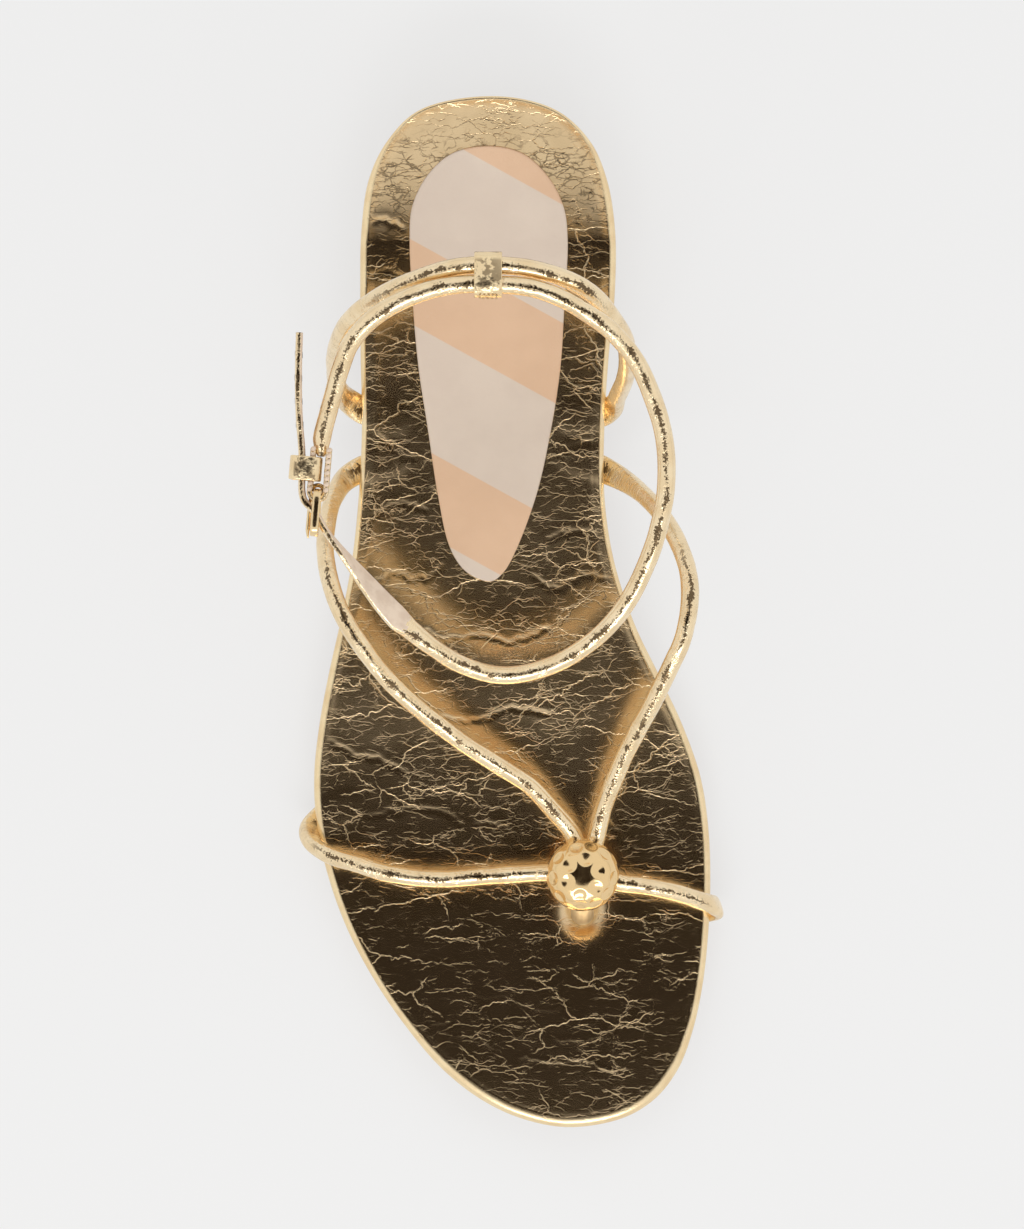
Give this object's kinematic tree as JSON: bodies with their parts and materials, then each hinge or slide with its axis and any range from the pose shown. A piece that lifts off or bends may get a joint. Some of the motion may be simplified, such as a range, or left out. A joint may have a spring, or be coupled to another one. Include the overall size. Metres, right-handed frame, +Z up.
{
  "type": "gladiator sandal",
  "caption": "Flat right sandal of rolled gold leather cord: thong toe strap and crossed instep cords under a hammered dome, heel sling, and ankle wrap with a small buckle.",
  "frame": {"origin": "on the floor, in the middle of the heel's rest face", "axes": "+Y toward the toe, +X toward the little toe (the lateral side), +Z up"},
  "size_m": [0.1017, 0.245, 0.0891],
  "materials": {
    "sole_rubber": "thin tan rubber sole",
    "heel_leather": "low stacked heel block wrapped in gold leather",
    "lift_rubber": "dark brown rubber top piece",
    "footbed_leather": "crackled mirror gold metallic leather",
    "sock_leather": "matte beige sock lining with tan bands",
    "cord_leather": "pale gold metallic leather, finely wrinkled",
    "gold_metal": "polished light gold plating"
  },
  "bodies": {
    "root": {"outsole": "sole_rubber", "heel": "heel_leather", "heel_lift": "lift_rubber", "footbed": "footbed_leather", "heel_sock": "sock_leather", "forefoot_straps": "cord_leather", "ornament": "gold_metal", "heel_sling": "cord_leather", "ankle_strap": "cord_leather", "back_keeper": "footbed_leather", "tail_keeper": "cord_leather", "buckle_frame": "gold_metal", "buckle_prong": "gold_metal"}
  },
  "joints": []
}
